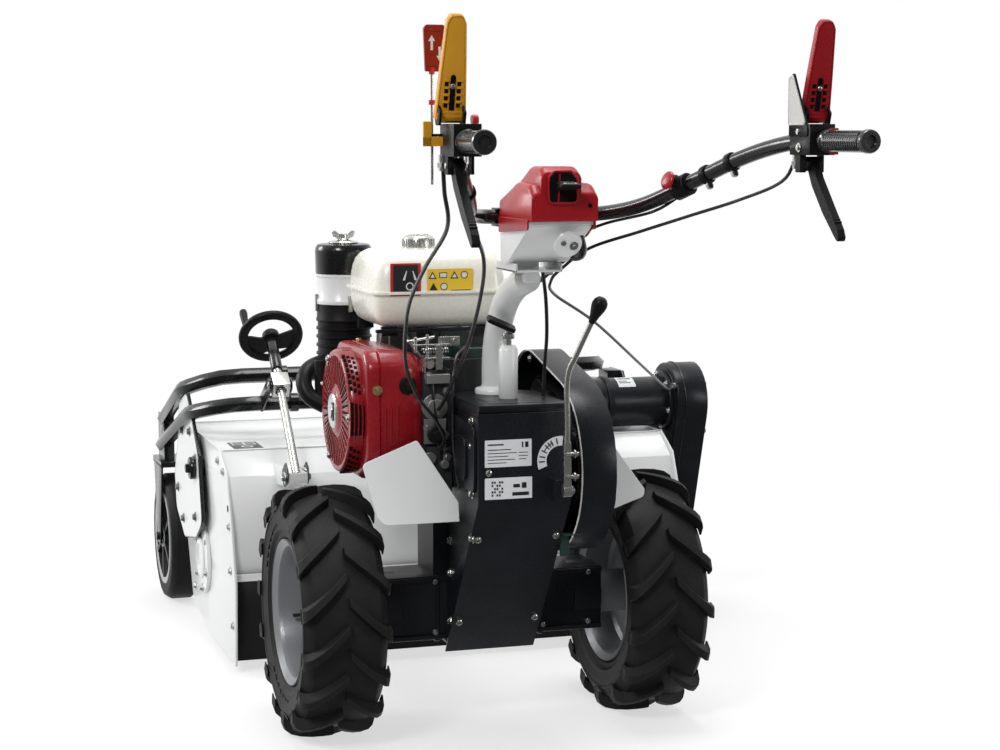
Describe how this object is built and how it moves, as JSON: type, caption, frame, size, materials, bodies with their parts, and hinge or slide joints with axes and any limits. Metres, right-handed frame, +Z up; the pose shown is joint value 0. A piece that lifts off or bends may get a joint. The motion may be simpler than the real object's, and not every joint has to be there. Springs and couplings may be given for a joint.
{
  "type": "brush mower",
  "caption": "Two-wheel tractor with a front flail mower deck: petrol engine, belt drives, swivelling handlebars, lugged drive wheels and height-adjustable gauge wheels.",
  "frame": {"origin": "ground point under the middle of the overall bounding box", "axes": "+X to the machine's right, +Y the way it drives, +Z up"},
  "size_m": [1.13, 2.356, 1.2761],
  "materials": {
    "black_paint": "satin powder coat, bluish black",
    "white_paint": "gloss paint, white",
    "red_paint": "gloss paint, deep red",
    "rim_paint": "satin paint, silver grey",
    "cream_plastic": "gloss, cream white",
    "red_plastic": "gloss, red",
    "yellow_plastic": "gloss, ochre yellow",
    "black_plastic": "matt, black",
    "cable_sheath": "satin, black",
    "rubber": "matt, black",
    "tyre": "matt, charcoal",
    "aluminium": "as cast",
    "zinc": "zinc plated",
    "steel": "machined"
  },
  "bodies": {
    "chassis": {"transaxle_housing": "black_paint", "rear_panel": "black_paint", "top_plate": "black_paint", "engine_mount": "steel", "crankcase": "aluminium", "muffler": "black_paint", "blower_shroud": "red_paint", "recoil_cover": "red_paint", "fuel_tank": "cream_plastic", "air_cleaner": "black_plastic", "air_cleaner_cap": "black_plastic", "belt_cover": "black_paint", "drive_belt": "rubber", "mudguard_left": "white_paint", "mudguard_right": "white_paint", "implement_gearbox": "black_paint", "deck": "white_paint", "bearing_flange": "zinc", "cross_tube": "black_paint", "side_belt_case": "black_paint", "rotor_belt": "rubber"},
    "steering": {"column": "white_paint", "console_box": "white_paint", "console_cover": "red_plastic", "handlebar": "black_paint", "grip_left": "rubber", "grip_right": "rubber", "perch_left": "black_plastic", "perch_right": "black_plastic", "switch_body": "black_plastic", "cable_left_inner": "cable_sheath", "cable_left_outer": "cable_sheath", "cable_console": "cable_sheath", "cable_mower_clutch": "cable_sheath"},
    "lock": {"lock_plunger": "zinc"},
    "throttle": {"throttle_lever": "black_plastic"},
    "upper_left": {"upper_lever_left": "yellow_plastic"},
    "upper_right": {"upper_lever_right": "red_plastic"},
    "lower_left": {"lower_lever_left": "black_plastic"},
    "lower_right": {"lower_lever_right": "black_plastic"},
    "direction": {"direction_rod": "steel"},
    "stop": {"stop_button": "red_plastic"},
    "gear_shift": {"gear_lever": "zinc"},
    "wheel_left": {"wheel_rim_left": "rim_paint", "tyre_left": "tyre"},
    "wheel_right": {"wheel_rim_right": "rim_paint", "tyre_right": "tyre"},
    "filler_cap": {"fuel_cap": "aluminium"},
    "filter_nut": {"wing_nut": "zinc"},
    "starter_pull": {"recoil_handle": "black_plastic"},
    "crankshaft": {"engine_pulley": "steel"},
    "gearbox_shaft": {"gearbox_pulley": "steel"},
    "case_shaft": {"case_pulley": "steel"},
    "flail_rotor": {"rotor": "steel"},
    "flap": {"rear_flap": "rubber"},
    "screw": {"height_screw": "zinc"},
    "carrier": {"gauge_frame": "black_paint"},
    "nut": {"screw_nut": "zinc"},
    "gauge_left": {"gauge_wheel_left": "rubber"},
    "gauge_right": {"gauge_wheel_right": "rubber"}
  },
  "joints": [
    {"name": "wheel_left_spin", "type": "hinge", "parent": "chassis", "child": "wheel_left", "pos_m": [-0.442, -0.2008, 0.23], "axis": [1, 0, 0], "continuous": true},
    {"name": "wheel_right_spin", "type": "hinge", "parent": "chassis", "child": "wheel_right", "pos_m": [0.172, -0.2008, 0.23], "axis": [1, 0, 0], "continuous": true},
    {"name": "steering_swivel", "type": "hinge", "parent": "chassis", "child": "steering", "pos_m": [-0.135, -0.2838, 0.6315], "axis": [0, 0, 1], "range_deg": [-25, 25], "deforming": ["cable_left_inner", "cable_left_outer", "cable_console", "cable_mower_clutch"]},
    {"name": "lock_pull", "type": "slide", "parent": "steering", "child": "lock", "axis": [0, 0, 1], "range_m": [0, 0.01], "stiffness_N_per_m": 800, "springref_m": -0.006},
    {"name": "throttle_tilt", "type": "hinge", "parent": "steering", "child": "throttle", "pos_m": [-0.13, -0.5458, 1.015], "axis": [-1, 0, 0], "range_deg": [0, 25]},
    {"name": "upper_left_press", "type": "hinge", "parent": "steering", "child": "upper_left", "pos_m": [-0.4255, -0.9928, 1.13], "axis": [1, 0, 0], "range_deg": [0, 70], "stiffness_Nm_per_rad": 0.6, "springref_deg": -20.05},
    {"name": "upper_right_press", "type": "hinge", "parent": "steering", "child": "upper_right", "pos_m": [0.1555, -0.9928, 1.13], "axis": [1, 0, 0], "range_deg": [0, 70], "stiffness_Nm_per_rad": 0.6, "springref_deg": -20.05},
    {"name": "lower_left_squeeze", "type": "hinge", "parent": "steering", "child": "lower_left", "pos_m": [-0.4195, -1.0028, 1.058], "axis": [-1, 0, 0], "range_deg": [0, 30], "stiffness_Nm_per_rad": 0.6, "springref_deg": -20.05},
    {"name": "lower_right_squeeze", "type": "hinge", "parent": "steering", "child": "lower_right", "pos_m": [0.1495, -1.0028, 1.058], "axis": [-1, 0, 0], "range_deg": [0, 30], "stiffness_Nm_per_rad": 0.6, "springref_deg": -20.05},
    {"name": "direction_pull", "type": "slide", "parent": "steering", "child": "direction", "axis": [0, 0, 1], "range_m": [0, 0.025]},
    {"name": "stop_press", "type": "slide", "parent": "steering", "child": "stop", "axis": [0.916, 0.2429, -0.3194], "range_m": [0, 0.003], "stiffness_N_per_m": 400, "springref_m": -0.002},
    {"name": "gear_select", "type": "hinge", "parent": "chassis", "child": "gear_shift", "pos_m": [-0.071, -0.4988, 0.481], "axis": [1, 0, 0], "range_deg": [-10, 10]},
    {"name": "cap_turn", "type": "hinge", "parent": "chassis", "child": "filler_cap", "pos_m": [-0.225, -0.0908, 0.8885], "axis": [0, 0, 1], "range_deg": [0, 90]},
    {"name": "filter_nut_turn", "type": "hinge", "parent": "chassis", "child": "filter_nut", "pos_m": [-0.325, 0.1002, 0.8884], "axis": [0, 0, 1], "continuous": true},
    {"name": "starter_pull_out", "type": "slide", "parent": "chassis", "child": "starter_pull", "axis": [0, 1, 0], "range_m": [0, 0.4], "stiffness_N_per_m": 20, "springref_m": -0.2},
    {"name": "crankshaft_spin", "type": "hinge", "parent": "chassis", "child": "crankshaft", "pos_m": [-0.005, -0.1708, 0.595], "axis": [1, 0, 0], "continuous": true},
    {"name": "gearbox_shaft_spin", "type": "hinge", "parent": "chassis", "child": "gearbox_shaft", "pos_m": [-0.005, -0.3108, 0.5], "axis": [1, 0, 0], "continuous": true},
    {"name": "case_shaft_spin", "type": "hinge", "parent": "chassis", "child": "case_shaft", "pos_m": [0.529, 0.4492, 0.505], "axis": [1, 0, 0], "continuous": true},
    {"name": "rotor_spin", "type": "hinge", "parent": "chassis", "child": "flail_rotor", "pos_m": [-0.028, 0.5992, 0.18], "axis": [1, 0, 0], "continuous": true},
    {"name": "flap_swing", "type": "hinge", "parent": "chassis", "child": "flap", "pos_m": [-0.028, 0.2742, 0.197], "axis": [1, 0, 0], "range_deg": [-60, 20]},
    {"name": "height_turn", "type": "hinge", "parent": "chassis", "child": "screw", "pos_m": [-0.3745, 0.5792, 0.663], "axis": [0.0511, 0.8171, 0.5742], "range_deg": [-570, 570]},
    {"name": "carrier_tilt", "type": "hinge", "parent": "chassis", "child": "carrier", "pos_m": [-0.0475, 0.5992, 0.378], "axis": [1, 0, 0], "range_deg": [-3.8, 3.8]},
    {"name": "nut_swivel", "type": "hinge", "parent": "carrier", "child": "nut", "pos_m": [-0.3826, 0.4492, 0.5717], "axis": [1, 0, 0], "range_deg": [-3.8, 3.8]},
    {"name": "gauge_left_spin", "type": "hinge", "parent": "carrier", "child": "gauge_left", "pos_m": [-0.515, 1.0292, 0.15], "axis": [1, 0, 0], "continuous": true},
    {"name": "gauge_right_spin", "type": "hinge", "parent": "carrier", "child": "gauge_right", "pos_m": [0.42, 1.0292, 0.15], "axis": [1, 0, 0], "continuous": true}
  ],
  "couplings": [
    {"joint": "gearbox_shaft_spin", "follows": "crankshaft_spin", "ratio": 0.4737},
    {"joint": "rotor_spin", "follows": "case_shaft_spin", "ratio": 0.6667},
    {"joint": "carrier_tilt", "follows": "height_turn", "ratio": 0.0065},
    {"joint": "nut_swivel", "follows": "height_turn", "ratio": -0.0065}
  ]
}
